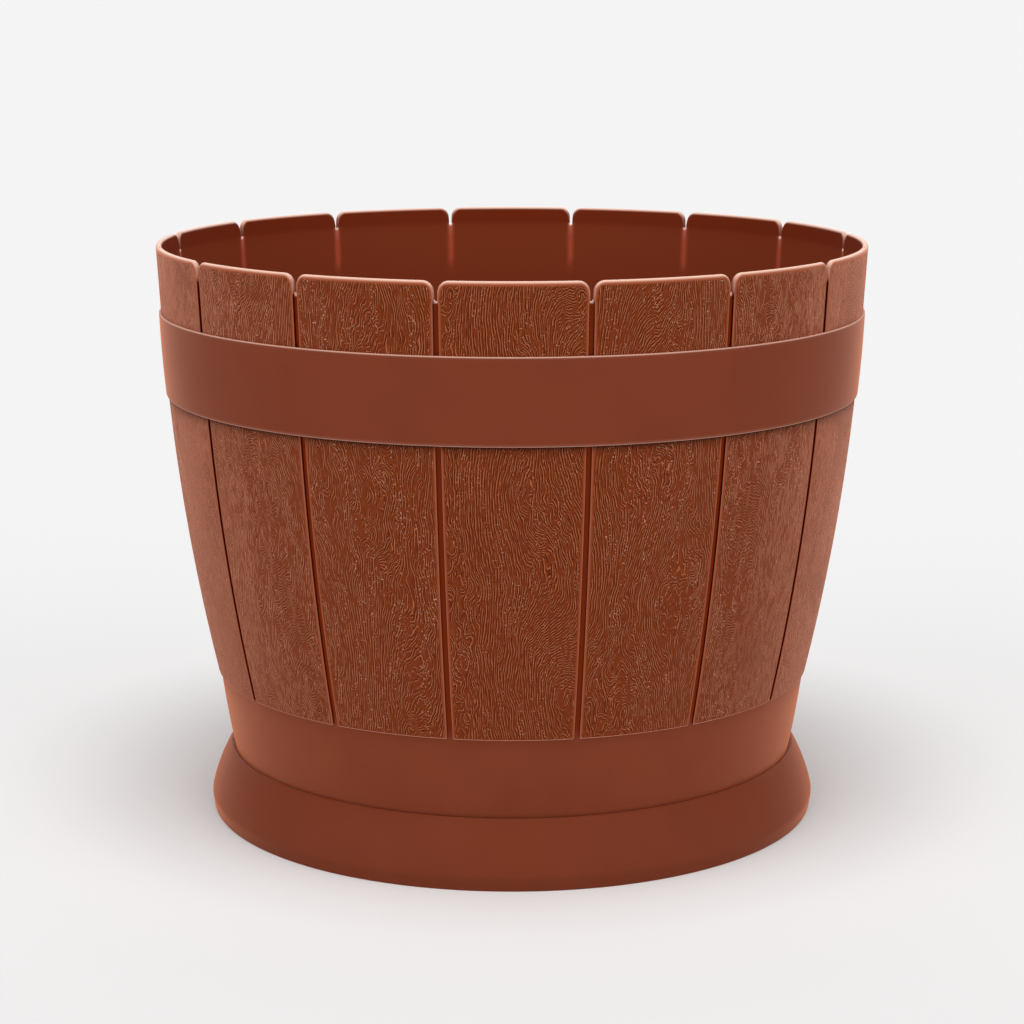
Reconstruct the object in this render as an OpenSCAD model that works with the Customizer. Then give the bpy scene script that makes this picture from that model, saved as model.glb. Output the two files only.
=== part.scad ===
// Barrel planter of moulded plastic: a pot with raised staves, a hoop pressed
// round it and a flared saucer that the pot stands in. +Z is up, the origin is
// under the centre of the saucer on the ground, and one stave faces -Y.

/* [Pot] */
// Height of the rim above the ground
planter_h = 309.3; // [260:0.1:360]
// Radius of the rim, to the outside of the staves
rim_r = 190; // [160:0.5:230]
// Wall through a stave
wall = 3.2; // [2.6:0.1:5]
// Slope of the straight upper wall from the vertical, in degrees
rim_draft = 3.15; // [1:0.05:5]
// Depth below the rim at which the wall starts to bow inwards
bow_drop = 47.3; // [38:0.1:70]
// Radius of the staves' bow, seen from the side
bow_r = 1125; // [900:5:1600]
// Radius that rounds the rim's two edges
rim_round = 1.5; // [0.5:0.1:1.5]
// Thickness of the pot's floor
floor_t = 3; // [2:0.1:6]
// Height of the foot that carries the floor
foot_h = 8; // [6:0.1:12]
// Number of drain holes
drain_n = 8; // [4:1:12]
// Diameter of a drain hole
drain_d = 12; // [6:0.5:20]
// Radius of the circle of drain holes
drain_ring_r = 105; // [60:1:115]
// Number of water slots through the foot
slot_n = 8; // [4:1:12]
// Width of a water slot
slot_w = 16; // [8:0.5:24]
// Height of a water slot
slot_h = 4; // [2:0.1:5]

/* [Staves] */
// Number of staves
stave_n = 16; // [12:1:24]
// Width of the groove between two staves
groove_w = 2.8; // [2.2:0.1:4]
// Depth of the groove at the rim
groove_rim_d = 1.6; // [1:0.1:1.8]
// Depth of the groove at the staves' feet
groove_foot_d = 1.2; // [0.8:0.1:1.8]
// Width of the notch through the rim
notch_w = 1.8; // [1:0.1:2.2]
// Depth of the notch below the rim
notch_d = 10; // [8:0.1:16]
// Radius of a stave's top corners
corner_r = 5.5; // [2:0.1:7]

/* [Lower band] */
// Height above the ground of the band's top, where the staves end
band_top = 77.4; // [55:0.1:100]
// Slope of the band at its top, in degrees
band_draft = 6.85; // [3:0.05:10]
// Radius of the band's bow, seen from the side
band_bow_r = 540; // [400:5:900]

/* [Hoop] */
// Depth of the hoop's top edge below the rim
hoop_drop = 35.8; // [25:0.1:60]
// Height of the hoop
hoop_h = 44; // [25:0.5:60]
// How far the hoop stands out from the staves
hoop_proud = 1.15; // [0.8:0.05:2.5]
// Extra bulge of the hoop's face at half its height
hoop_crown = 0.2; // [0:0.05:0.5]
// Depth of the recess in the staves that holds the hoop
hoop_seat_d = 0.45; // [0.3:0.05:0.8]
// Clearance between the hoop and its recess
hoop_gap = 0.05; // [0.02:0.01:0.15]
// Radius that rounds the hoop's outer edges
hoop_round = 0.7; // [0.3:0.05:0.75]

/* [Saucer] */
// Height of the saucer's rim above the ground
saucer_h = 34.6; // [28:0.1:42]
// Wall of the saucer
saucer_wall = 2.1; // [1.6:0.1:3]
// Clearance between the saucer's inner wall and the pot
saucer_gap = 0.45; // [0.35:0.05:1.5]
// How far the skirt's foot stands out beyond its rim
skirt_out = 10.8; // [5:0.1:14]
// Radius of the skirt's outward bow, seen from the side
skirt_bow_r = 95; // [60:1:140]
// Height of the lip that the skirt ends in
lip_h = 7; // [5:0.1:11]
// How far the lip's face leans in at the ground
lip_lean = 1.3; // [0:0.1:2]
// Radius that rounds the lip's upper edge
lip_round = 8; // [3:0.5:12]
// Space under the tray's floor
tray_z = 2.8; // [2:0.1:5]
// Thickness of the tray's floor
tray_t = 2.2; // [1.6:0.1:4]
// Number of ribs that the pot stands on
rest_n = 8; // [4:1:16]
// Height of these ribs above the tray's floor
rest_h = 3; // [2:0.1:5]
// Width of these ribs
rest_w = 2.4; // [1.6:0.1:4]
// Radius at which these ribs start
rest_in_r = 40; // [20:1:80]
// Number of gussets between the skirt and the inner wall
gusset_n = 16; // [8:1:32]
// Thickness of a gusset
gusset_t = 1.6; // [1:0.1:3]
// Space under the gussets
gusset_z = 6; // [1:0.1:12]
// Radius of the smallest support ring under the tray
ring_r = 40; // [20:1:60]
// Number of support rings under the tray
ring_n = 3; // [1:1:4]
// Distance from one support ring to the next
ring_step = 35; // [15:1:40]
// Width of a support ring
ring_w = 2; // [1.2:0.1:4]

/* [Hidden] */

$fn = 128;
eps = 0.01;
round_steps = 5;
bow_steps = 12;
band_steps = 6;
hoop_steps = 6;
skirt_steps = 8;
meeting_steps = 20;
pot_color = [0.49, 0.23, 0.15];
hoop_color = [0.47, 0.22, 0.16];
saucer_color = [0.44, 0.21, 0.15];

tray_top = tray_z + tray_t;
foot_z = tray_top + rest_h;
floor_z = foot_z + foot_h;
floor_top = floor_z + floor_t;
bow_z = planter_h - bow_drop;
bow_top_r = rim_r - bow_drop * tan(rim_draft);
band_wall = wall - groove_foot_d;
hoop_top = planter_h - hoop_drop;
hoop_foot = hoop_top - hoop_h;
rim_fillet = min(rim_round, 0.49 * wall);
cutter_reach = 4 * wall;

// Radius at height z of an arc that leaves (r0, z0) downwards at a slope
function bowed(r0, z0, draft, bow, z) =
    r0 - bow * cos(draft) + sqrt(pow(bow, 2) - pow(z - z0 - bow * sin(draft), 2));

// Radius of the staves' faces, straight near the rim and bowed below
function stave_r(z) = z > bow_z
    ? rim_r - (planter_h - z) * tan(rim_draft)
    : bowed(bow_top_r, bow_z, rim_draft, bow_r, z);

// Radius of the lower band and of the foot below it
band_top_r = stave_r(band_top) - groove_foot_d;
function band_r(z) = bowed(band_top_r, band_top, band_draft, band_bow_r, z);

// Depth and radius of the grooves' floors
function groove_d(z) = groove_foot_d
    + (groove_rim_d - groove_foot_d) * (z - band_top) / (planter_h - band_top);
function groove_r(z) = stave_r(z) - groove_d(z);

// Radius of the pot's smooth inner wall
function inner_r(z) = z > band_top ? stave_r(z) - wall : band_r(z) - band_wall;

// Evenly spaced heights, and points of an arc
function levels(z0, z1, n) = [for (i = [0 : n]) z0 + (z1 - z0) * i / n];
function arc(r, z, radius, a0, a1) =
    [for (a = levels(a0, a1, round_steps)) [r + radius * cos(a), z + radius * sin(a)]];

// Heights at which the upper walls bend, from the band's top to the rim
stave_levels = concat(levels(band_top, bow_z, bow_steps), [planter_h]);
band_levels = levels(foot_z, band_top, band_steps);
wall_levels = levels(floor_top, band_top, band_steps);
hoop_levels = levels(hoop_foot, hoop_top, hoop_steps);

// Radius of the hoop's seat in the staves
function seat_r(z) = stave_r(z) - hoop_seat_d;

// The pot's wall and floor, from the axis outwards
rim_fillet_z = planter_h - rim_fillet;
rim_outside = arc(stave_r(rim_fillet_z) - rim_fillet, rim_fillet_z, rim_fillet, 0, 90);
rim_inside = arc(inner_r(rim_fillet_z) + rim_fillet, rim_fillet_z, rim_fillet, 90, 180);
pot_section = concat(
    [[0, floor_z], [inner_r(floor_z), floor_z], [inner_r(foot_z), foot_z]],
    [for (z = band_levels) [band_r(z), z]],
    [for (z = stave_levels) if (z < planter_h) [stave_r(z), z]],
    rim_outside,
    rim_inside,
    [for (i = [1 : len(stave_levels) - 1])
        let (z = stave_levels[len(stave_levels) - 1 - i])
        [inner_r(z), z]],
    [for (i = [1 : band_steps]) let (z = wall_levels[band_steps - i]) [inner_r(z), z]],
    [[0, floor_top]]);

// Copies its children round the axis, the first one centred on -Y plus a turn
module ring_of(n, turn = 0) {
    for (i = [0 : n - 1])
        rotate([0, 0, turn + 360 * i / n])
            children();
}

// A flat slab that runs out along -Y from r0 to r1
module slab(width, r0, r1, z0, z1) {
    translate([-width / 2, -r1, z0])
        cube([width, r1 - r0, z1 - z0]);
}

// The grooves that part the staves
module grooves() {
    intersection() {
        rotate_extrude()
            polygon(concat(
                [for (z = stave_levels) [groove_r(z), z]],
                [[rim_r + wall, planter_h], [rim_r + wall, band_top]]));
        ring_of(stave_n, 180 / stave_n)
            slab(groove_w, inner_r(floor_top), rim_r + cutter_reach, band_top, planter_h);
    }
}

// One notch through the rim, with the round corners of the two staves beside it
module notch() {
    flank = notch_w / 2 + corner_r;
    right = [for (a = levels(180, 90, round_steps))
        [flank + corner_r * cos(a), planter_h - corner_r + corner_r * sin(a)]];
    left = [for (a = levels(90, 0, round_steps))
        [-flank + corner_r * cos(a), planter_h - corner_r + corner_r * sin(a)]];
    bed = [for (a = levels(180, 360, round_steps))
        [notch_w / 2 * cos(a), planter_h - notch_d + notch_w / 2 * (1 + sin(a))]];
    translate([0, -rim_r + cutter_reach, 0])
        rotate([90, 0, 0])
            linear_extrude(2 * cutter_reach)
                polygon(concat(
                    left,
                    bed,
                    right,
                    [[flank, planter_h + wall], [-flank, planter_h + wall]]));
}

// The shallow recess that holds the hoop
module hoop_recess() {
    rotate_extrude()
        polygon(concat(
            [for (z = hoop_levels) [seat_r(z), z]],
            [[rim_r + wall, hoop_top], [rim_r + wall, hoop_foot]]));
}

module pot_shell() {
    color(pot_color)
        difference() {
            rotate_extrude()
                polygon(pot_section);
            grooves();
            hoop_recess();
            ring_of(stave_n, 180 / stave_n)
                notch();
            ring_of(drain_n)
                translate([0, -drain_ring_r, floor_z - eps])
                    cylinder(h = floor_t + 2 * eps, d = drain_d);
            ring_of(slot_n, 180 / slot_n)
                slab(slot_w, drain_ring_r, rim_r, foot_z - eps, foot_z + slot_h);
        }
}

// The hoop, a closed ring with rounded outer edges
module upper_hoop() {
    function face_r(z) = stave_r(z) + hoop_proud
        + hoop_crown * (1 - pow(2 * (z - hoop_foot) / hoop_h - 1, 2));
    edge_low = hoop_foot + hoop_gap + hoop_round;
    edge_high = hoop_top - hoop_gap - hoop_round;
    color(hoop_color)
        rotate_extrude()
            polygon(concat(
                arc(face_r(edge_low) - hoop_round, edge_low, hoop_round, -90, 0),
                [for (z = hoop_levels) if (z > edge_low + eps && z < edge_high - eps)
                    [face_r(z), z]],
                arc(face_r(edge_high) - hoop_round, edge_high, hoop_round, 0, 90),
                [[seat_r(hoop_top) + hoop_gap, hoop_top - hoop_gap]],
                [for (i = [1 : hoop_steps - 1]) let (z = hoop_levels[hoop_steps - i])
                    [seat_r(z) + hoop_gap, z]],
                [[seat_r(hoop_foot) + hoop_gap, hoop_foot + hoop_gap]]));
}

// Inner and outer faces of the saucer's inner wall, which follows the pot
function tray_r(z) = band_r(z) + saucer_gap;
function tray_back_r(z) = tray_r(z) + saucer_wall;

// The skirt's outer face, an arc from the rounded rim down to the lip
rim_turn = 30;
saucer_round = saucer_wall / 2;
round_z = saucer_h - saucer_round;
round_r = tray_r(round_z) + saucer_round;
skirt_top = [round_r, round_z] + saucer_round * [cos(rim_turn), sin(rim_turn)];
skirt_foot = [skirt_top[0] + skirt_out, lip_h];
skirt_a = atan2(skirt_top[1] - skirt_foot[1], skirt_foot[0] - skirt_top[0]);
skirt_half_a = asin(norm(skirt_foot - skirt_top) / 2 / skirt_bow_r);
skirt_centre = (skirt_top + skirt_foot) / 2
    - skirt_bow_r * cos(skirt_half_a) * [sin(skirt_a), cos(skirt_a)];
skirt_angles = levels(
    90 - skirt_a - skirt_half_a,
    90 - skirt_a + skirt_half_a,
    skirt_steps);
function skirt_points(inset) = [for (a = skirt_angles)
    skirt_centre + (skirt_bow_r - inset) * [cos(a), sin(a)]];
function skirt_back_r(z) = skirt_centre[0]
    + sqrt(pow(skirt_bow_r - saucer_wall, 2) - pow(z - skirt_centre[1], 2));

// Height at which the backs of the skirt and of the inner wall meet
function meeting_z(low, high, steps) =
    let (mid = (low + high) / 2)
    steps == 0 ? mid
        : tray_back_r(mid) < skirt_back_r(mid) ? meeting_z(mid, high, steps - 1)
        : meeting_z(low, mid, steps - 1);
apex_z = meeting_z(skirt_foot[1], round_z, meeting_steps);

// The lip at the skirt's foot, which an arc leads into
lip_r = skirt_foot[0];
lip_back_r = lip_r - lip_lean - saucer_wall;
lip_chamfer = saucer_wall / 4;
lip_a = -atan2(lip_lean, lip_h);
lip_turn = skirt_angles[0] - lip_a;
lip_reach = lip_round * tan(lip_turn / 2);
lip_edge = [lip_r, lip_h] + lip_reach * [-sin(skirt_angles[0]), cos(skirt_angles[0])];
lip_centre = lip_edge - lip_round * [cos(skirt_angles[0]), sin(skirt_angles[0])];
lip_points = concat(
    [[lip_back_r, 0], [lip_r - lip_lean - lip_chamfer, 0]],
    [[lip_r - lip_lean * (1 - lip_chamfer / lip_h), lip_chamfer]],
    arc(lip_centre[0], lip_centre[1], lip_round, lip_a, skirt_angles[0]));
skirt_face = [for (point = skirt_points(0)) if (point[1] > lip_edge[1] + eps) point];

// The saucer's tray, wall and skirt, from the axis outwards and back
saucer_section = concat(
    [[0, tray_z]],
    [for (z = levels(tray_z, apex_z, band_steps)) [tray_back_r(z), z]],
    [for (i = [0 : skirt_steps])
        let (point = skirt_points(saucer_wall)[skirt_steps - i])
        if (point[1] < apex_z - eps && point[0] < lip_back_r - eps) point],
    lip_points,
    skirt_face,
    arc(round_r, round_z, saucer_round, 2 * rim_turn, 180),
    [for (i = [1 : band_steps])
        let (z = levels(round_z, tray_top, band_steps)[i])
        [tray_r(z), z]],
    [[0, tray_top]]);

// The hollow between the skirt and the inner wall, reaching halfway into both
gusset_section = concat(
    [for (z = levels(gusset_z, apex_z, band_steps)) [tray_back_r(z) - saucer_round, z]],
    [for (i = [0 : skirt_steps])
        let (point = skirt_points(saucer_round)[skirt_steps - i])
        if (point[1] < apex_z - eps) point],
    [[lip_back_r + saucer_round, gusset_z]]);

module saucer() {
    color(saucer_color) {
        rotate_extrude()
            polygon(saucer_section);
        for (i = [0 : ring_n - 1])
            rotate_extrude()
                translate([ring_r + i * ring_step - ring_w / 2, 0])
                    square([ring_w, tray_z + tray_t / 2]);
        intersection() {
            rotate_extrude()
                polygon(gusset_section);
            ring_of(gusset_n)
                slab(gusset_t, tray_r(0), lip_r, 0, saucer_h);
        }
        ring_of(rest_n)
            slab(rest_w, rest_in_r, tray_r(tray_top) + saucer_round,
                tray_z + tray_t / 2, foot_z);
    }
}

saucer();
pot_shell();
upper_hoop();
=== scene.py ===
"""Barrel planter of moulded plastic: a pot with grained staves, a hoop and a flared saucer."""

import math

import bpy
import numpy as np
from mathutils import Matrix, Vector


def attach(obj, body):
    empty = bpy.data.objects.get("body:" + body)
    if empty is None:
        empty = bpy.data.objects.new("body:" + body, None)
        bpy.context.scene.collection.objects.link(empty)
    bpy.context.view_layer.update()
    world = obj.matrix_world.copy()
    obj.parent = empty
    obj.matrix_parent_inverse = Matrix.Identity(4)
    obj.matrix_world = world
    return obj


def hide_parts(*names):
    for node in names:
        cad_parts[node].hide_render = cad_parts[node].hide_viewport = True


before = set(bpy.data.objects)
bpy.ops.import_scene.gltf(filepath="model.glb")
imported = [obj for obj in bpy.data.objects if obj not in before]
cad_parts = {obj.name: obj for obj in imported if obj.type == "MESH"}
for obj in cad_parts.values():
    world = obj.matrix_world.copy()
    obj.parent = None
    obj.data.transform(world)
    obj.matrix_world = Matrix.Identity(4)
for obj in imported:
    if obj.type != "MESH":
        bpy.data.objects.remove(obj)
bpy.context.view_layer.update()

# Driving sizes of the object, in metres and radians, as in the CAD model
MM = 0.001
TURN = 2 * math.pi
RIM_Z = 309.3 * MM
RIM_R = 190 * MM
WALL = 3.2 * MM
RIM_DRAFT = math.radians(3.15)
BOW_DROP = 47.3 * MM
BOW_R = 1125 * MM
RIM_ROUND = 1.5 * MM
FLOOR_T = 3 * MM
FOOT_H = 8 * MM
DRAIN_N = 8
DRAIN_R = 6 * MM
DRAIN_RING_R = 105 * MM
SLOT_N = 8
SLOT_W = 16 * MM
SLOT_H = 4 * MM
STAVE_N = 16
GROOVE_W = 2.8 * MM
GROOVE_RIM_D = 1.6 * MM
GROOVE_FOOT_D = 1.2 * MM
NOTCH_W = 1.8 * MM
NOTCH_D = 10 * MM
CORNER_R = 5.5 * MM
BAND_TOP = 77.4 * MM
BAND_DRAFT = math.radians(6.85)
BAND_BOW_R = 540 * MM
HOOP_DROP = 35.8 * MM
HOOP_H = 44 * MM
HOOP_PROUD = 1.15 * MM
HOOP_CROWN = 0.2 * MM
HOOP_SEAT_D = 0.45 * MM
HOOP_GAP = 0.05 * MM
HOOP_ROUND = 0.7 * MM
SAUCER_H = 34.6 * MM
SAUCER_WALL = 2.1 * MM
SAUCER_GAP = 0.45 * MM
SKIRT_OUT = 10.8 * MM
SKIRT_BOW_R = 95 * MM
LIP_H = 7 * MM
LIP_LEAN = 1.3 * MM
LIP_ROUND = 8 * MM
TRAY_Z = 2.8 * MM
TRAY_T = 2.2 * MM
REST_N = 8
REST_H = 3 * MM
REST_W = 2.4 * MM
REST_IN_R = 40 * MM
GUSSET_N = 16
GUSSET_T = 1.6 * MM
GUSSET_Z = 6 * MM
RING_R = 40 * MM
RING_N = 3
RING_STEP = 35 * MM
RING_W = 2 * MM

# Small roundings, laps and gaps of the visual model
HARD_ROUND = 0.02 * MM
WEB_ROUND = 0.57 * MM
FLOOR_ROUND = 1.5 * MM
FOOT_ROUND = 0.6 * MM
COVE_R = 3 * MM
DRAIN_FLARE = 0.8 * MM
CUT_OVER = 1 * MM
STAVE_ROUND = 0.5 * MM
STAVE_FOOT_R = 1 * MM
STAVE_LAP = 0.4 * MM
SEAM_STEP = 0.5 * MM
SAUCER_CLOSE = 0.3 * MM
SAUCER_RIM_ROUND = 0.45 * MM
RIB_ROUND = 1.5 * MM
TRAY_COVE_R = 1.5 * MM

# Sizes that follow from them
SECTOR = TURN / STAVE_N
TRAY_TOP = TRAY_Z + TRAY_T
FOOT_Z = TRAY_TOP + REST_H
FLOOR_Z = FOOT_Z + FOOT_H
FLOOR_TOP = FLOOR_Z + FLOOR_T
BOW_Z = RIM_Z - BOW_DROP
BOW_TOP_R = RIM_R - BOW_DROP * math.tan(RIM_DRAFT)
BAND_WALL = WALL - GROOVE_FOOT_D
HOOP_TOP = RIM_Z - HOOP_DROP
HOOP_FOOT = HOOP_TOP - HOOP_H
BED_Z = RIM_Z - NOTCH_D
SEAM_Z = BED_Z + NOTCH_W / 2

# How finely the meshes are cut. The tuples are in millimetres.
LATHE_STEPS = 256
ROUND_STEPS = 5
SECTOR_STEPS = 15
STAVE_COLUMNS = 18
STAVE_ROWS = 56
FROM_GROOVE = (0.3, 0.6, 0.8, 0.95, 1.5, 3.0)
BELOW_BED = (1.7, 1.3, 0.9)
FROM_SEAM = (-4, -2.6, -1.8, -1.3, -0.9, -0.5, -0.05, 0, 0.4, 0.8, 1.2, 1.7, 2.3, 3.0)
STAVE_MARGINS = (0, 0.5, 1.0, 1.6)


# Profiles of the pot


def blend(a, b, share):
    return a + (b - a) * share


def bowed(r0, z0, draft, bow, z):
    """Radius at height z of an arc that leaves (r0, z0) downwards at a slope."""
    drop = z - z0 - bow * math.sin(draft)
    return r0 - bow * math.cos(draft) + math.sqrt(bow**2 - drop**2)


def stave_r(z):
    """Radius of the staves' faces, straight near the rim and bowed below."""
    if z > BOW_Z:
        return RIM_R - (RIM_Z - z) * math.tan(RIM_DRAFT)
    return bowed(BOW_TOP_R, BOW_Z, RIM_DRAFT, BOW_R, z)


def band_r(z):
    """Radius of the smooth lower band and of the foot below it."""
    return bowed(stave_r(BAND_TOP) - GROOVE_FOOT_D, BAND_TOP, BAND_DRAFT, BAND_BOW_R, z)


def groove_d(z):
    """Depth of the grooves below the staves' faces."""
    return blend(GROOVE_FOOT_D, GROOVE_RIM_D, (z - BAND_TOP) / (RIM_Z - BAND_TOP))


def groove_r(z):
    return stave_r(z) - groove_d(z)


def inner_r(z):
    """Radius of the pot's smooth inner wall."""
    return stave_r(z) - WALL if z > BAND_TOP else band_r(z) - BAND_WALL


def tray_r(z):
    """Radius of the saucer's inner wall in the solids, which follows the pot."""
    return band_r(z) + SAUCER_GAP


# Mesh helpers


def levels(start, end, steps):
    return [start + (end - start) * i / steps for i in range(steps + 1)]


def arc(r, z, radius, start, end):
    """Points of an arc in the (r, z) plane, with its angles in degrees."""
    turns = [math.radians(a) for a in levels(start, end, ROUND_STEPS)]
    return [(r + radius * math.cos(a), z + radius * math.sin(a)) for a in turns]


def rounded(points, radii, steps=ROUND_STEPS):
    """A closed outline with the corners named in radii, {index: radius}, rounded."""
    made = []
    for i, corner in enumerate(points):
        radius = radii.get(i, 0)
        corner = np.array(corner)
        if not radius:
            made.append(tuple(corner))
            continue
        back = np.array(points[i - 1]) - corner
        ahead = np.array(points[(i + 1) % len(points)]) - corner
        back = back / np.linalg.norm(back)
        ahead = ahead / np.linalg.norm(ahead)
        half = math.acos(np.clip(back @ ahead, -1, 1)) / 2
        middle = back + ahead
        centre = corner + middle / np.linalg.norm(middle) * radius / math.sin(half)
        first = corner + back * radius / math.tan(half) - centre
        last = corner + ahead * radius / math.tan(half) - centre
        a0 = math.atan2(first[1], first[0])
        sweep = (math.atan2(last[1], last[0]) - a0 + math.pi) % TURN - math.pi
        for share in levels(0, 1, steps):
            a = a0 + sweep * share
            made.append((centre[0] + radius * math.cos(a), centre[1] + radius * math.sin(a)))
    return made


def new_object(name, points, faces):
    mesh = bpy.data.meshes.new(name)
    mesh.from_pydata([tuple(p) for p in points], [], faces)
    mesh.validate()
    mesh.shade_smooth()
    piece = bpy.data.objects.new(name, mesh)
    bpy.context.scene.collection.objects.link(piece)
    return piece


def revolve(name, outline_at, turns):
    """Turns a closed outline of (r, z) points round Z. It may change with the angle."""
    points, faces, rows = [], [], []
    outlines = [outline_at(a) for a in turns]
    for k, (r, z) in enumerate(outlines[0]):
        if r < 1e-7:
            rows.append([len(points)] * len(turns))
            points.append((0, 0, z))
            continue
        rows.append(list(range(len(points), len(points) + len(turns))))
        for a, outline in zip(turns, outlines):
            r, z = outline[k]
            points.append((r * math.cos(a), r * math.sin(a), z))
    for low, high in zip(rows, rows[1:] + rows[:1]):
        if low[0] == low[1] and high[0] == high[1]:
            continue
        for i in range(len(turns)):
            j = (i + 1) % len(turns)
            faces.append(list(dict.fromkeys([low[i], low[j], high[j], high[i]])))
    return new_object(name, points, faces)


def lathe(name, outline, steps=LATHE_STEPS):
    return revolve(name, lambda a: outline, [TURN * i / steps for i in range(steps)])


def slab(name, outline, width, turn):
    """A flat plate whose (r, z) outline stands along a radius, turned round Z."""
    points, faces = [], []
    n = len(outline)
    cos, sin = math.cos(turn), math.sin(turn)
    for side in (-width / 2, width / 2):
        for r, z in outline:
            points.append((r * cos - side * sin, r * sin + side * cos, z))
    faces.append(list(range(n))[::-1])
    faces.append(list(range(n, 2 * n)))
    for i in range(n):
        j = (i + 1) % n
        faces.append([i, j, n + j, n + i])
    return new_object(name, points, faces)


def apply_modifiers(piece):
    """Makes what the modifiers show the piece's own mesh."""
    shown = piece.evaluated_get(bpy.context.evaluated_depsgraph_get())
    mesh = bpy.data.meshes.new_from_object(shown)
    piece.modifiers.clear()
    old = piece.data
    piece.data = mesh
    mesh.name = piece.name
    mesh.materials.clear()
    mesh.polygons.foreach_set("material_index", [0] * len(mesh.polygons))
    bpy.data.meshes.remove(old)


def combine(piece, tools, operation):
    """Adds tools to a piece or cuts them from it, and deletes them."""
    group = bpy.data.collections.new("tools")
    for tool in tools:
        group.objects.link(tool)
    change = piece.modifiers.new("change", "BOOLEAN")
    change.operation = operation
    change.operand_type = "COLLECTION"
    change.collection = group
    change.solver = "MANIFOLD"
    apply_modifiers(piece)
    for tool in tools:
        mesh = tool.data
        bpy.data.objects.remove(tool)
        bpy.data.meshes.remove(mesh)
    bpy.data.collections.remove(group)


def finish_mesh(piece, sharp=50):
    """Smooth shading that keeps flat faces flat and corners above an angle hard."""
    piece.data.shade_smooth()
    piece.data.set_sharp_from_angle(angle=math.radians(sharp))
    even = piece.modifiers.new("even_normals", "WEIGHTED_NORMAL")
    even.keep_sharp = True
    even.weight = 80


# Marks that the materials read at each point

STAVE_MARKS = ("grain", "shade", "edge", "inner", "warm")


def smooth_step(low, high, x):
    """0 below low, smoothly 1 above high."""
    share = min(max((x - low) / (high - low), 0), 1)
    return share * share * (3 - 2 * share)


def fade(low, high, x):
    """1 below low, smoothly 0 above high."""
    return 1 - smooth_step(low, high, x)


def rim_shade(z):
    """Share of the painted shade on the thick wall inside the rim."""
    return smooth_step(BED_Z - 3 * MM, BED_Z + 3 * MM, z)


def store_marks(piece, marks):
    """Stores marks, which has a dictionary of numbers or vectors for each point of a piece."""
    for name, first in marks[0].items():
        vector = isinstance(first, tuple)
        layer = piece.data.attributes.new(name, "FLOAT_VECTOR" if vector else "FLOAT", "POINT")
        values = np.array([mark[name] for mark in marks], float)
        layer.data.foreach_set("vector" if vector else "value", values.ravel())


def core_marks(x, y, z):
    """Marks of the core: painted shade on the groove floors, light through the web painted as
    glow, the inside's painted lighter and shaded tones, and painted highlights on the webs' edges.
    """
    inside = math.hypot(x, y) < (inner_r(z) + groove_r(z)) / 2
    off = from_groove(math.atan2(y, x))
    above_hoop = smooth_step(HOOP_TOP - 1 * MM, HOOP_TOP + 4 * MM, z)
    web_top = smooth_step(BED_Z - 1.2 * MM, BED_Z - 0.4 * MM, z)
    above_band = z > BAND_TOP + 0.1 * MM
    return {
        "deep": (not inside) * above_band * fade(BED_Z - 1.6 * MM, BED_Z - 0.9 * MM, z),
        "glow": inside * above_hoop * fade(0.2 * MM, 2.9 * MM, off),
        "shade": inside * rim_shade(z),
        "edge": fade(0.9 * MM, 1.2 * MM, off) * web_top,
        "inner": inside,
    }


def front_marks(side, z):
    """Marks of a stave's face: the grain, and the smooth margins at its sides and ends, painted
    warm and lighter as light on the rounded edges.
    """
    near = min(side, z - BAND_TOP, RIM_Z - 1.1 * MM - z)
    top_margin = fade(0, 1.2 * MM, RIM_Z - RIM_ROUND - z)
    side_margin = 0.7 * fade(0, 1.1 * MM, side)
    return {"grain": smooth_step(0.2 * MM, 1.2 * MM, near), "warm": max(top_margin, side_margin)}


def wall_shade(z, depth, inner):
    """How much painted shade a stave's side wall gets: fully in the groove, and partly in the
    notch above.
    """
    groove = fade(BED_Z - 0.5 * MM, BED_Z + 1 * MM, z) * smooth_step(0.2 * MM, 0.5 * MM, depth)
    notch = fade(RIM_Z - 5 * MM, RIM_Z - 2 * MM, z) * smooth_step(1 * MM, 2 * MM, depth)
    return max(groove, notch * (0.4 if inner else 0.75))


def edge_highlight_share(z, up):
    """How strong the painted highlight on a stave's edge is: most at the rim, less at the foot,
    least along the grooves.
    """
    return max(0.12 + 0.25 * smooth_step(BED_Z, RIM_Z - CORNER_R, z), up, -0.8 * up)


# Pieces


def core_turns():
    """Angles of the core's columns, closest together at the grooves."""
    near = [d * MM / RIM_R for d in FROM_GROOVE]
    wide = [SECTOR * i / SECTOR_STEPS for i in range(1, SECTOR_STEPS)]
    inside = sorted(near + wide + [SECTOR - d for d in near])
    return [SECTOR * (k + 1 / 2) - TURN / 4 + d for k in range(STAVE_N) for d in [0, *inside]]


def from_groove(a):
    """Distance across the rim from the nearest groove's middle, at a given angle."""
    return abs((a + TURN / 4) % SECTOR - SECTOR / 2) * RIM_R


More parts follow.
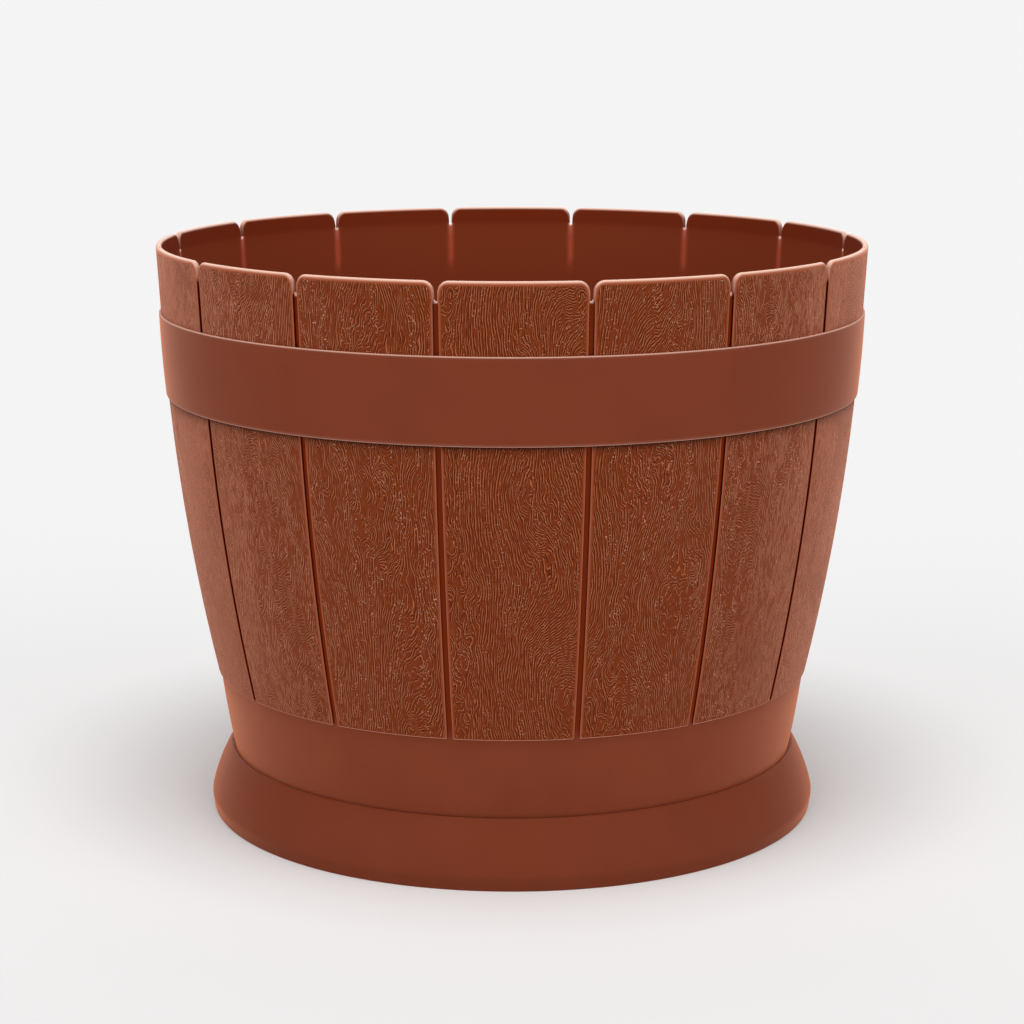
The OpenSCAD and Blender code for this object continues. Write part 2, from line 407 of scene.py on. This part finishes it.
def core_outline(a):
    """Section of the core at an angle. Its top is a round bed in a notch, and flat elsewhere."""
    off = from_groove(a)
    half = NOTCH_W / 2
    top = SEAM_Z - math.sqrt(max(half**2 - off**2, 0))
    outline = [(0, FLOOR_Z), (inner_r(FLOOR_Z), FLOOR_Z)]
    outline += [(inner_r(FOOT_Z), FOOT_Z), (band_r(FOOT_Z), FOOT_Z)]
    outline += [(band_r(z), z) for z in levels(FOOT_Z, BAND_TOP, 20)[1:]]
    outline += [(groove_r(z), z) for z in levels(BAND_TOP, BED_Z - 2.2 * MM, 34)[1:]]
    outline += [(groove_r(BED_Z - d * MM), BED_Z - d * MM) for d in BELOW_BED]
    outline += [(groove_r(top), top)]
    corner = len(outline) - 1
    outline += [(inner_r(top), top)]
    outline += [(inner_r(z), z) for z in levels(BED_Z - 1 * MM, BAND_TOP, 36)]
    outline += [(inner_r(z), z) for z in levels(BAND_TOP, FLOOR_TOP, 12)[1:]]
    cove = len(outline) - 1
    outline += [(0, FLOOR_TOP)]
    radii = {1: FLOOR_ROUND, 2: FOOT_ROUND, 3: FOOT_ROUND, cove: COVE_R}
    radii[corner] = radii[corner + 1] = WEB_ROUND if off < half else HARD_ROUND
    return rounded(outline, radii)


def make_core():
    """The pot's smooth inner shell, groove floors, lower band, floor and foot."""
    core = revolve("pot_core", core_outline, core_turns())
    tools = []
    hole = [
        (0, FLOOR_Z - CUT_OVER),
        (DRAIN_R + CUT_OVER, FLOOR_Z - CUT_OVER),
        (DRAIN_R, FLOOR_Z),
        (DRAIN_R, FLOOR_TOP - DRAIN_FLARE),
        (DRAIN_R + DRAIN_FLARE, FLOOR_TOP),
        (DRAIN_R + DRAIN_FLARE, FLOOR_TOP + CUT_OVER),
        (0, FLOOR_TOP + CUT_OVER),
    ]
    for i in range(DRAIN_N):
        a = TURN * (i / DRAIN_N - 1 / 4)
        tool = lathe("hole", hole, 48)
        place = DRAIN_RING_R * Vector((math.cos(a), math.sin(a), 0))
        tool.data.transform(Matrix.Translation(place))
        tools.append(tool)
    slot = [
        (DRAIN_RING_R, FOOT_Z - FOOT_H),
        (RIM_R, FOOT_Z - FOOT_H),
        (RIM_R, FOOT_Z + SLOT_H),
        (DRAIN_RING_R, FOOT_Z + SLOT_H),
    ]
    for i in range(SLOT_N):
        tools.append(slab("slot", slot, SLOT_W, TURN * ((i + 1 / 2) / SLOT_N - 1 / 4)))
    combine(core, tools, "DIFFERENCE")
    store_marks(core, [core_marks(*v.co) for v in core.data.vertices])
    finish_mesh(core)
    return core


def half_gap(z):
    """Half the space between two staves: the groove, and the narrower notch above."""
    share = smooth_step(BED_Z - 1.5 * MM, BED_Z + 1.5 * MM, z)
    return blend(GROOVE_W, NOTCH_W, share) / 2


def stave_side(z):
    return stave_r(z) * SECTOR / 2 - half_gap(z)


def stave_outline():
    """The right edge of a stave from its foot to its top corner.

    Each row is (across, height, normal across, normal up, front rounding, back rounding).
    """
    rows = []

    def quarter(z, radius, start, end, steps):
        """A round corner at the foot or the top, which meets the side at height z."""
        for a in levels(start, end, steps):
            cos, sin = math.cos(math.radians(a)), math.sin(math.radians(a))
            rows.append((stave_side(z) + radius * (cos - 1), z + radius * sin, cos, sin))

    quarter(BAND_TOP + STAVE_FOOT_R, STAVE_FOOT_R, -90, 0, 4)
    heights = levels(BAND_TOP + 3 * MM, BED_Z - 6 * MM, STAVE_ROWS)
    heights += [SEAM_Z + d * MM for d in FROM_SEAM]
    rows += [(stave_side(z), z, 1, 0) for z in heights]
    quarter(RIM_Z - CORNER_R, CORNER_R, 0, 90, 9)
    made = []
    full_z = RIM_Z - CORNER_R / 2
    for across, z, nx, nz in rows:
        front = blend(STAVE_ROUND, RIM_ROUND, smooth_step(BED_Z - 1 * MM, full_z, z))
        back = blend(HARD_ROUND, RIM_ROUND, smooth_step(SEAM_Z, full_z, z))
        made.append((across, z, nx, nz, front, back))
    return made


def stave_depth(z):
    """How deep a stave goes: the whole wall above the seam, a raised pad on the core below it."""
    pad = groove_d(min(z, BED_Z)) + STAVE_LAP
    return blend(pad, WALL, min(max((z - (SEAM_Z - SEAM_STEP)) / SEAM_STEP, 0), 1))


def make_stave(index, outline):
    """One stave as a closed slab with rounded edges."""
    centre = TURN * (index / STAVE_N - 1 / 4)
    margins = [m * MM for m in STAVE_MARGINS]
    points, marks = [], []

    def add(across, z, depth, open_back=0, **given):
        """A point of the stave, with its marks. Those that aren't given are 0."""
        r = stave_r(min(z, RIM_Z))
        a = centre + across / r
        points.append(((r - depth) * math.cos(a), (r - depth) * math.sin(a), z))
        mark = {"board": (across, z, index), **dict.fromkeys(STAVE_MARKS, 0), **given}
        # The side walls get painted shade in the grooves and partly in the notches
        mark["deep"] = (1 - open_back) * wall_shade(z, depth, mark["inner"])
        marks.append(mark)
        return len(points) - 1

    def face(depth_at, behind):
        """Rows of points across the face in front or behind, inside its rounded edges."""
        rows = []
        for across, z, nx, nz, front, back in outline:
            inset = back if behind else front
            end, height = across - nx * inset, z - nz * inset
            inner = end - margins[-1]
            spots = [m - end for m in margins[:-1]] + levels(-inner, inner, STAVE_COLUMNS)
            spots += [end - m for m in margins[-2::-1]]
            row = []
            for x in spots:
                if behind:
                    given = {"shade": rim_shade(height), "inner": 1}
                else:
                    given = front_marks(end - abs(x), height)
                row.append(add(x, height, depth_at(height), behind, **given))
            rows.append(row)
        return rows

    def border(rows):
        """The points round a face: its foot, right side, top and left side."""
        loop = rows[0] + [row[-1] for row in rows[1:-1]]
        return loop + rows[-1][::-1] + [row[0] for row in rows[-2:0:-1]]

    front_face = face(lambda z: 0, False)
    back_face = face(stave_depth, True)
    front_loop, back_loop = border(front_face), border(back_face)
    width = len(front_face[0])
    last = len(outline) - 1
    # Outline row and side (-1 left, 0 foot or top, 1 right) of each point of the border
    sides = [(0, 0)] * width + [(i, 1) for i in range(1, last)]
    sides += [(last, 0)] * width + [(i, -1) for i in range(last - 1, 0, -1)]

    def ring(loop, behind, a):
        """The border moved out over a rounded edge, by an angle of its quarter turn."""
        sin, cos = math.sin(math.radians(a)), math.cos(math.radians(a))
        made = []
        for point, (i, side) in zip(loop, sides):
            _, z, nx, nz, front, back = outline[i]
            size = back if behind else front
            across, height, _ = marks[point]["board"]
            depth = size * (1 - cos)
            if behind:
                depth = stave_depth(height) - depth
            across += side * nx * size * sin
            height += nz * size * sin
            # The rounded edges get a painted highlight, and in front also the warm painted light
            given = {"edge": edge_highlight_share(z, nz) * smooth_step(0, 60, a)}
            if behind:
                given.update(shade=rim_shade(height), inner=1, open_back=cos)
            else:
                given.update(warm=0.8)
            made.append(add(across, height, depth, **given))
        return made

    rings = [front_loop]
    rings += [ring(front_loop, False, a) for a in levels(0, 90, ROUND_STEPS)[1:]]
    rings += [ring(back_loop, True, a) for a in levels(90, 0, ROUND_STEPS)[:-1]]
    rings += [back_loop]
    faces = []
    for low, high in zip(front_face, front_face[1:]):
        faces += [[low[j], low[j + 1], high[j + 1], high[j]] for j in range(width - 1)]
    for low, high in zip(back_face, back_face[1:]):
        faces += [[low[j], high[j], high[j + 1], low[j + 1]] for j in range(width - 1)]
    for outer, inner in zip(rings, rings[1:]):
        for k in range(len(sides)):
            n = (k + 1) % len(sides)
            faces.append([outer[k], inner[k], inner[n], outer[n]])
    piece = new_object(f"stave_{index + 1:02d}", points, faces)
    store_marks(piece, marks)
    finish_mesh(piece, 60)
    return piece


def make_hoop():
    """The hoop, a closed ring with a slightly crowned face and rounded edges."""
    low, high = HOOP_FOOT + HOOP_GAP, HOOP_TOP - HOOP_GAP
    face_steps = 24

    def face_r(z):
        off_middle = 2 * (z - HOOP_FOOT) / HOOP_H - 1
        return stave_r(z) + HOOP_PROUD + HOOP_CROWN * (1 - off_middle**2)

    def edge_highlight_mark(x, y, z):
        """How strong the painted highlight on the edges is: more on the upper than on the lower
        one.
        """
        outer = math.hypot(x, y) > stave_r(z) + 0.1 * MM
        upper = fade(0.2 * MM, 0.8 * MM, high - z)
        lower = fade(0.2 * MM, 0.8 * MM, z - low)
        return outer * max(0.6 * upper, 0.36 * lower)

    outline = [(face_r(z), z) for z in levels(low, high, face_steps)]
    outline += [(stave_r(z) - HOOP_SEAT_D + HOOP_GAP, z) for z in levels(high, low, 12)]
    hoop = lathe("hoop", rounded(outline, {0: HOOP_ROUND, face_steps: HOOP_ROUND}))
    store_marks(hoop, [{"edge": edge_highlight_mark(*v.co)} for v in hoop.data.vertices])
    finish_mesh(hoop)
    return hoop


def make_saucer():
    """The saucer: skirt with a lip, rounded rim, inner wall, tray, ribs and gussets."""
    # The skirt is an arc from the outside of the round rim to the lip
    half_wall = SAUCER_WALL / 2
    round_z = SAUCER_H - half_wall
    round_r = tray_r(round_z) + half_wall
    turn = math.radians(30)
    top = Vector((round_r, round_z)) + half_wall * Vector((math.cos(turn), math.sin(turn)))
    foot = top + Vector((SKIRT_OUT, 0))
    foot.y = LIP_H
    lean = math.atan2(top.y - foot.y, foot.x - top.x)
    half = math.asin((foot - top).length / 2 / SKIRT_BOW_R)
    to_centre = SKIRT_BOW_R * math.cos(half) * Vector((math.sin(lean), math.cos(lean)))
    centre = (top + foot) / 2 - to_centre
    turns = levels(math.pi / 2 - lean - half, math.pi / 2 - lean + half, 24)

    def skirt(inset):
        r = SKIRT_BOW_R - inset
        return [tuple(centre + r * Vector((math.cos(a), math.sin(a)))) for a in turns]

    def back_wall(z):
        """Radius of the inner wall's back, in the hollow behind the skirt."""
        return tray_r(z) + SAUCER_WALL

    lip_back_r = foot.x - LIP_LEAN - SAUCER_WALL
    back = skirt(SAUCER_WALL)
    back = [p for p in back if back_wall(p[1]) + 0.6 * MM < p[0] < lip_back_r - 0.05 * MM]
    apex_z = back[-1][1] + 0.8 * MM

    # Underside: tray with its support rings, the hollow and the lip
    outline = [(0, TRAY_Z)]
    radii = {}
    for i in range(RING_N):
        inner, outer = [RING_R + i * RING_STEP + side * RING_W / 2 for side in (-1, 1)]
        radii.update({len(outline) + 1: 0.4 * MM, len(outline) + 2: 0.4 * MM})
        outline += [(inner, TRAY_Z), (inner, 0), (outer, 0), (outer, TRAY_Z)]
    radii[len(outline)] = 0.8 * MM
    outline += [(back_wall(z), z) for z in levels(TRAY_Z, apex_z, 14)]
    outline += back[::-1]
    n = len(outline)
    radii.update({n: 0.4 * MM, n + 1: 0.5 * MM, n + 2: LIP_ROUND})
    outline += [(lip_back_r, 0), (foot.x - LIP_LEAN, 0), (foot.x, LIP_H)]

    # Outside and top: skirt, rim and inner wall, which stands closer to the pot than in the solids
    outline += [p for p in skirt(0) if p[1] > LIP_H + 3.5 * MM]
    outline += arc(round_r, round_z, half_wall, 45, 90)
    edge_r = SAUCER_RIM_ROUND
    edge_z = SAUCER_H - edge_r
    outline += arc(tray_r(SAUCER_H) - SAUCER_CLOSE + edge_r, edge_z, edge_r, 90, 180)
    outline += [(tray_r(z) - SAUCER_CLOSE, z) for z in levels(edge_z, TRAY_TOP, 14)[1:]]
    radii[len(outline) - 1] = TRAY_COVE_R
    outline += [(0, TRAY_TOP)]
    saucer = lathe("saucer_tray", rounded(outline, radii, 8))

    tools = []
    gusset = [(back_wall(z) - half_wall, z) for z in levels(GUSSET_Z, apex_z, 6)]
    gusset += [(r + half_wall, z) for r, z in back[::-1] if z > GUSSET_Z + 1 * MM]
    gusset += [(lip_back_r + half_wall, GUSSET_Z)]
    for i in range(GUSSET_N):
        tools.append(slab("gusset", gusset, GUSSET_T, TURN * (i / GUSSET_N - 1 / 4)))
    end, low = tray_r(TRAY_TOP) + half_wall, TRAY_TOP - half_wall
    rib = [(REST_IN_R, low), (end, low), (end, FOOT_Z), (REST_IN_R, FOOT_Z)]
    rib = rounded(rib, {3: RIB_ROUND})
    for i in range(REST_N):
        tools.append(slab("rib", rib, REST_W, TURN * (i / REST_N - 1 / 4)))
    combine(saucer, tools, "UNION")
    finish_mesh(saucer)
    return saucer


core = make_core()
outline = stave_outline()
staves = [make_stave(i, outline) for i in range(STAVE_N)]
hoop = make_hoop()
saucer = make_saucer()
for piece in [core, *staves]:
    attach(piece, "pot")
    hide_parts("pot_shell")
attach(hoop, "pot")
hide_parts("upper_hoop")
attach(saucer, "saucer")
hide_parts("saucer")


# Materials

# Of these colours, the pale edge colour is a painted highlight, the inside's lighter tone is
# painted light, the rim's inside, the valleys and the grooves are painted shade, the ridges, the
# specks and the warm margins are painted highlights, and the glow is painted light through the
# webs
PLASTIC = (0.215, 0.045, 0.0195, 1)
EDGE_HIGHLIGHT = (0.97, 0.64, 0.51, 1)
INSIDE_LIGHTENED = (0.28, 0.052, 0.018, 1)
INSIDE_RIM_SHADE = (0.23, 0.032, 0.009, 1)
FLAT = (0.2, 0.0335, 0.0065, 1)
VALLEY_SHADE = (0.075, 0.007, 0.0005, 1)
RIDGE_HIGHLIGHT = (0.425, 0.132, 0.052, 1)
WARM_EDGE_LIGHT = (0.41, 0.1, 0.041, 1)
SPECK_GLINT = (0.7, 0.35, 0.23, 1)
GROOVE_SHADE = (0.2, 0.023, 0.002, 1)
GROOVE_WALL_SHADE = (0.075, 0.003, 0.0003, 1)
GLOW = (0.54, 0.1, 0.048, 1)
SHEEN_TINT = (1, 0.33, 0.15, 1)
GRAIN_SHEEN_TINT = (1, 0.41, 0.26, 1)
SPECULAR = 0.04
EDGE_HIGHLIGHT_SHARE = 0.9
EDGE_GLOSS = 0.12
HOOP_SHADOW_H = 1.6 * MM
SKIN_RELIEF = 0.04 * MM
GRAIN_RELIEF = 0.12 * MM
GRAIN_PITCH = 1.1 * MM


class Nodes:
    """Adds nodes to a material's or the world's tree and links them."""

    def __init__(self, tree):
        self.tree = tree

    def add(self, kind, settings=None, **inputs):
        node = self.tree.nodes.new("ShaderNode" + kind)
        for name, value in (settings or {}).items():
            setattr(node, name, value)
        for name, value in inputs.items():
            self.feed(node, name.replace("_", " "), value)
        return node

    def feed(self, node, name, value):
        """Links a socket to an input, or sets the input to a value."""
        socket = node.inputs[name]
        if isinstance(value, bpy.types.NodeSocket):
            self.tree.links.new(value, socket)
        else:
            socket.default_value = value

    def math(self, operation, *values):
        node = self.add("Math", {"operation": operation})
        for i, value in enumerate(values):
            self.feed(node, i, value)
        return node.outputs[0]

    def spread(self, value, low, high, to_low=0.0, to_high=1.0):
        """Smoothly maps low..high to to_low..to_high and holds the ends."""
        node = self.add("MapRange", {"interpolation_type": "SMOOTHSTEP"}, Value=value)
        limits = {"From Min": low, "From Max": high, "To Min": to_low, "To Max": to_high}
        for name, number in limits.items():
            self.feed(node, name, number)
        return node.outputs[0]

    def noise(self, x, y, z, detail):
        vector = self.add("CombineXYZ", X=x, Y=y, Z=z).outputs[0]
        return self.add("TexNoise", Vector=vector, Scale=1.0, Detail=detail).outputs["Fac"]

    def mix(self, share, a, b):
        node = self.add("Mix", {"data_type": "RGBA"})
        for i, value in ((0, share), (6, a), (7, b)):
            self.feed(node, i, value)
        return node.outputs[2]

    def mark(self, name, output="Fac"):
        """What store_marks stored under a name."""
        return self.add("Attribute", {"attribute_name": name}).outputs[output]


def start_material(name, sheen_roughness, sheen_tint=SHEEN_TINT):
    material = bpy.data.materials.new(name)
    material.use_nodes = True
    shader = material.node_tree.nodes["Principled BSDF"]
    shader.inputs["Specular IOR Level"].default_value = SPECULAR
    shader.inputs["Sheen Roughness"].default_value = sheen_roughness
    shader.inputs["Sheen Tint"].default_value = sheen_tint
    return material, Nodes(material.node_tree), shader


def tone(share, cool=1.0):
    """The plastic's colour, lighter or darker, with a share of its green and blue."""
    return (PLASTIC[0] * share, PLASTIC[1] * share * cool, PLASTIC[2] * share * cool, 1)


def finish_plastic(nodes, shader, colour, groove, roughness, bump, sheen):
    """What both plastics share: the painted shadow under the hoop, the painted shade in the
    grooves and the painted highlights on the edges.

    The sheen is one number where a piece has it all over, and None on the pot, where only the
    open faces outside have it.
    """
    z = nodes.add("SeparateXYZ", Vector=nodes.add("TexCoord").outputs["Object"]).outputs[2]
    # A painted shadow under the hoop, which fades downwards, then the painted highlights on the
    # edges and the painted shade in the grooves
    below = nodes.math("SUBTRACT", HOOP_FOOT, z)
    drop = nodes.math("DIVIDE", nodes.math("MAXIMUM", below, 0.0), -HOOP_SHADOW_H)
    hoop_shadow = nodes.math("POWER", math.e, drop)
    hoop_shadow = nodes.math("MULTIPLY", hoop_shadow, nodes.math("GREATER_THAN", below, 0.0))
    outside = nodes.math("SUBTRACT", 1.0, nodes.mark("inner"))
    hoop_shadow = nodes.math("MULTIPLY", hoop_shadow, outside)
    deep = nodes.mark("deep")
    edge = nodes.mark("edge")
    colour = nodes.mix(hoop_shadow, colour, tone(0.05, 0.2))
    colour = nodes.mix(nodes.math("MULTIPLY", edge, EDGE_HIGHLIGHT_SHARE), colour, EDGE_HIGHLIGHT)
    colour = nodes.mix(deep, colour, groove)
    if sheen:
        shader.inputs["Sheen Weight"].default_value = sheen
    else:
        open_face = nodes.math("SUBTRACT", 1.0, nodes.math("MAXIMUM", deep, hoop_shadow))
        open_face = nodes.math("MULTIPLY", outside, open_face)
        open_face = nodes.math("MULTIPLY", open_face, nodes.spread(edge, 0.1, 0.4, 1.0, 0.4))
        nodes.feed(shader, "Sheen Weight", open_face)
    nodes.feed(shader, "Base Color", colour)
    burnished = nodes.math("MULTIPLY", edge, -EDGE_GLOSS)
    nodes.feed(shader, "Roughness", nodes.math("ADD", roughness, burnished))
    nodes.feed(shader, "Normal", bump)


def smooth_plastic(name, share, sheen, sheen_roughness):
    """Satin plastic with faint clouds, a fine skin and a slightly uneven gloss."""
    material, nodes, shader = start_material(name, sheen_roughness)
    place = nodes.add("TexCoord").outputs["Object"]
    cloud = nodes.add("TexNoise", Vector=place, Scale=28.0, Detail=3.0).outputs["Fac"]
    skin = nodes.add("TexNoise", Vector=place, Scale=1400.0, Detail=2.0).outputs["Fac"]
    colour = nodes.mix(nodes.spread(cloud, 0.3, 0.7), tone(0.97 * share), tone(1.03 * share))
    # The inside is painted lighter, the rim's inside painted darker as shade, and the light
    # through the webs painted as glow
    for mark, paint in (("inner", INSIDE_LIGHTENED), ("shade", INSIDE_RIM_SHADE), ("glow", GLOW)):
        colour = nodes.mix(nodes.mark(mark), colour, paint)
    roughness = nodes.spread(skin, 0.3, 0.7, 0.36, 0.44)
    bump = nodes.add("Bump", Height=skin, Strength=0.25, Distance=SKIN_RELIEF).outputs[0]
    finish_plastic(nodes, shader, colour, GROOVE_SHADE, roughness, bump, sheen)
    return material


def grained_plastic():
    """Plastic embossed with wood grain: ridges of an even pitch along the contours of a field."""
    material, nodes, shader = start_material("grained_plastic", 0.37, GRAIN_SHEEN_TINT)
    math_ = nodes.math
    board = nodes.add("SeparateXYZ", Vector=nodes.mark("board", "Vector"))
    u, v, index = board.outputs
    grain = nodes.mark("grain")
    seed = math_("MULTIPLY", index, 7.31)

    def noise(u, v, across, along, offset, detail=0.0):
        """Noise stretched along the board, of so many cells per metre."""
        x, y = math_("MULTIPLY", u, across), math_("MULTIPLY", v, along)
        return nodes.noise(x, y, math_("ADD", seed, offset), detail)

    def length(a, b):
        return math_("SQRT", math_("ADD", math_("MULTIPLY", a, a), math_("MULTIPLY", b, b)))

    reach = nodes.spread(noise(u, v, 30.0, 14.0, 40.0), 0.4, 0.6, 0.003, 0.015)

    def field(u, v):
        """The way across the board, bent by a sweep, swirls of a changing reach and a wobble."""
        sweep = math_("MULTIPLY", noise(u, v, 26.0, 11.0, 60.0), 0.06)
        swirl = math_("SUBTRACT", noise(u, v, 95.0, 45.0, 0.0, 1.0), 0.5)
        swirl = math_("MULTIPLY", swirl, reach)
        wobble = math_("MULTIPLY", noise(u, v, 400.0, 170.0, 3.0), 0.0013)
        return math_("ADD", math_("ADD", u, sweep), math_("ADD", swirl, wobble))

    # How fast the field rises, and from it the power of two that keeps the ridges' pitch even
    step = 0.4 * MM
    here = field(u, v)
    rise_u = math_("DIVIDE", math_("SUBTRACT", field(math_("ADD", u, step), v), here), step)
    rise_v = math_("DIVIDE", math_("SUBTRACT", field(u, math_("ADD", v, step)), here), step)
    slope = length(rise_u, rise_v)
    level = math_("LOGARITHM", math_("MAXIMUM", slope, 0.01), 2.0)
    level = math_("MAXIMUM", level, -1.6)
    whole = math_("FLOOR", level)
    share = nodes.spread(math_("SUBTRACT", level, whole), 0.0, 1.0)
    rest = math_("SUBTRACT", 1.0, share)
    phase = math_("MULTIPLY", here, TURN / GRAIN_PITCH)
    phase = math_("MULTIPLY", phase, math_("POWER", 2.0, math_("MULTIPLY", whole, -1.0)))
    fine = math_("MULTIPLY", math_("SINE", phase), rest)
    coarse = math_("MULTIPLY", math_("SINE", math_("MULTIPLY", phase, 0.5)), share)
    wave = math_("DIVIDE", math_("ADD", fine, coarse), length(share, rest))

    # Gaps in the ridges, flat places where the field hardly rises, and specks in streaks, raised
    # and painted as glints
    chips = nodes.spread(noise(u, v, 650.0, 170.0, 9.0, 1.0), 0.34, 0.56, 0.3, 1.0)
    chips = math_("MULTIPLY", chips, nodes.spread(slope, 0.06, 0.27))
    wave = math_("MULTIPLY", math_("MULTIPLY", wave, chips), grain)
    streak = nodes.spread(noise(u, v, 240.0, 30.0, 21.0), 0.45, 0.62, 0.1, 0.8)
    dots = nodes.spread(noise(u, v, 1500.0, 1200.0, 31.0), 0.69, 0.78)
    dots = math_("MULTIPLY", math_("MULTIPLY", dots, streak), grain)
    height = math_("ADD", wave, dots)

    # Painted light on the relief: the valleys are painted darker as shade and the ridges lighter
    # as highlights, along the grain
    colour = nodes.mix(nodes.spread(wave, -0.15, -0.95), FLAT, VALLEY_SHADE)
    colour = nodes.mix(nodes.spread(wave, 0.25, 1.0), colour, RIDGE_HIGHLIGHT)
    colour = nodes.mix(dots, colour, SPECK_GLINT)
    # The margins get the warm painted light, the inside is painted lighter and the rim's inside
    # painted darker as shade
    for mark, paint in (("warm", WARM_EDGE_LIGHT), ("inner", INSIDE_LIGHTENED), ("shade", INSIDE_RIM_SHADE)):
        colour = nodes.mix(nodes.mark(mark), colour, paint)
    roughness = nodes.spread(height, -1.0, 1.0, 0.5, 0.38)
    bump = nodes.add("Bump", Height=height, Strength=1.0, Distance=GRAIN_RELIEF).outputs[0]
    finish_plastic(nodes, shader, colour, GROOVE_WALL_SHADE, roughness, bump, None)
    return material


grained = grained_plastic()
core.data.materials.append(smooth_plastic("smooth_plastic", 1.0, None, 0.42))
hoop.data.materials.append(smooth_plastic("hoop_plastic", 1.0, 0.75, 0.3))
# The saucer's plastic is painted a little darker, as painted shade under the pot's overhang
saucer.data.materials.append(smooth_plastic("saucer_plastic", 0.89, 1.0, 0.33))
for piece in staves:
    piece.data.materials.append(grained)


# Floor, light and camera. The levels are shares of full white, the angles in degrees.

FLOOR_REACH = 60
FLOOR_PAINT = {"Base Color": (0.8, 0.8, 0.8, 1), "Roughness": 0.9, "Specular IOR Level": 0.0}
SKY_LEVEL = 0.09
BACKDROP_LEVEL = 0.905
SIDE_BOX_AZIMUTH = 55
SIDE_BOX_ELEVATION = 15
SIDE_BOX_LEVEL = 0.98
SIDE_BOX_HALF = (50, 15)
BACK_BOX_LEVEL = 2.0
TOP_BOX_ELEVATION = 78
TOP_BOX_LEVEL = 0.72
TOP_BOX_WIDTH = 40
CAMERA_AZIMUTH = -0.25
CAMERA_DOWN = 11.80
CAMERA_R = 1.4307
CAMERA_Z = 0.4585
CAMERA_LENS = 93.61
CAMERA_SENSOR = 36


def toward(azimuth, elevation):
    """The direction of a light seen from the object. Azimuth 0 is the camera's side."""
    a, e = math.radians(azimuth), math.radians(elevation)
    return math.sin(a) * math.cos(e), -math.cos(a) * math.cos(e), math.sin(e)


reach = FLOOR_REACH
floor_mesh = bpy.data.meshes.new("floor")
floor_corners = [(-reach, -reach, 0), (reach, -reach, 0), (reach, reach, 0), (-reach, reach, 0)]
floor_mesh.from_pydata(floor_corners, [], [(0, 1, 2, 3)])
floor = bpy.data.objects.new("floor", floor_mesh)
bpy.context.scene.collection.objects.link(floor)
paint = bpy.data.materials.new("floor_paint")
paint.use_nodes = True
for name, value in FLOOR_PAINT.items():
    paint.node_tree.nodes["Principled BSDF"].inputs[name].default_value = value
floor.data.materials.append(paint)

# The sky holds a soft box on either side and one behind the object
world = bpy.data.worlds.new("studio")
bpy.context.scene.world = world
world.use_nodes = True
sky = Nodes(world.node_tree)
way = sky.add("SeparateXYZ", Vector=sky.add("TexCoord").outputs["Generated"]).outputs
box_x, box_y, box_z = toward(SIDE_BOX_AZIMUTH, SIDE_BOX_ELEVATION)
facing = sky.math("MULTIPLY", sky.math("ABSOLUTE", way[0]), box_x)
facing = sky.math("ADD", facing, sky.math("MULTIPLY", way[1], box_y))
facing = sky.math("ADD", facing, sky.math("MULTIPLY", way[2], box_z))
outer, inner = [math.cos(math.radians(a)) for a in SIDE_BOX_HALF]
side_boxes = sky.spread(facing, outer, inner, 0.0, SIDE_BOX_LEVEL)
back_box = sky.spread(way[1], 0.3, 0.7, 0.0, BACK_BOX_LEVEL)
back_box = sky.math("MULTIPLY", back_box, sky.spread(way[2], 0.1, 0.2))
back_box = sky.math("MULTIPLY", back_box, sky.spread(way[2], 0.4, 0.55, 1.0, 0.0))
level = sky.math("ADD", sky.math("ADD", side_boxes, back_box), SKY_LEVEL)
# Above the horizon the camera sees a plain backdrop in the floor's tone
seen = sky.add("LightPath").outputs["Is Camera Ray"]
level = sky.math("MULTIPLY", level, sky.math("SUBTRACT", 1.0, seen))
level = sky.math("ADD", level, sky.math("MULTIPLY", seen, BACKDROP_LEVEL))
grey = sky.add("CombineColor", Red=level, Green=level, Blue=level).outputs[0]
sky.feed(world.node_tree.nodes["Background"], "Color", grey)

top_box = bpy.data.lights.new("top_box", "SUN")
top_box.energy = math.pi * TOP_BOX_LEVEL
top_box.angle = math.radians(TOP_BOX_WIDTH)
top_holder = bpy.data.objects.new("top_box", top_box)
bpy.context.scene.collection.objects.link(top_holder)
direction = Vector(toward(0, TOP_BOX_ELEVATION))
top_holder.rotation_euler = direction.to_track_quat("Z", "Y").to_euler()

camera_data = bpy.data.cameras.new("camera")
camera_data.sensor_width = CAMERA_SENSOR
camera_data.lens = CAMERA_LENS
camera = bpy.data.objects.new("camera", camera_data)
turn = math.radians(CAMERA_AZIMUTH)
camera.location = (CAMERA_R * math.sin(turn), -CAMERA_R * math.cos(turn), CAMERA_Z)
camera.rotation_euler = (math.radians(90 - CAMERA_DOWN), 0, turn)
bpy.context.scene.collection.objects.link(camera)
bpy.context.scene.camera = camera
bpy.context.scene.view_settings.view_transform = "Standard"
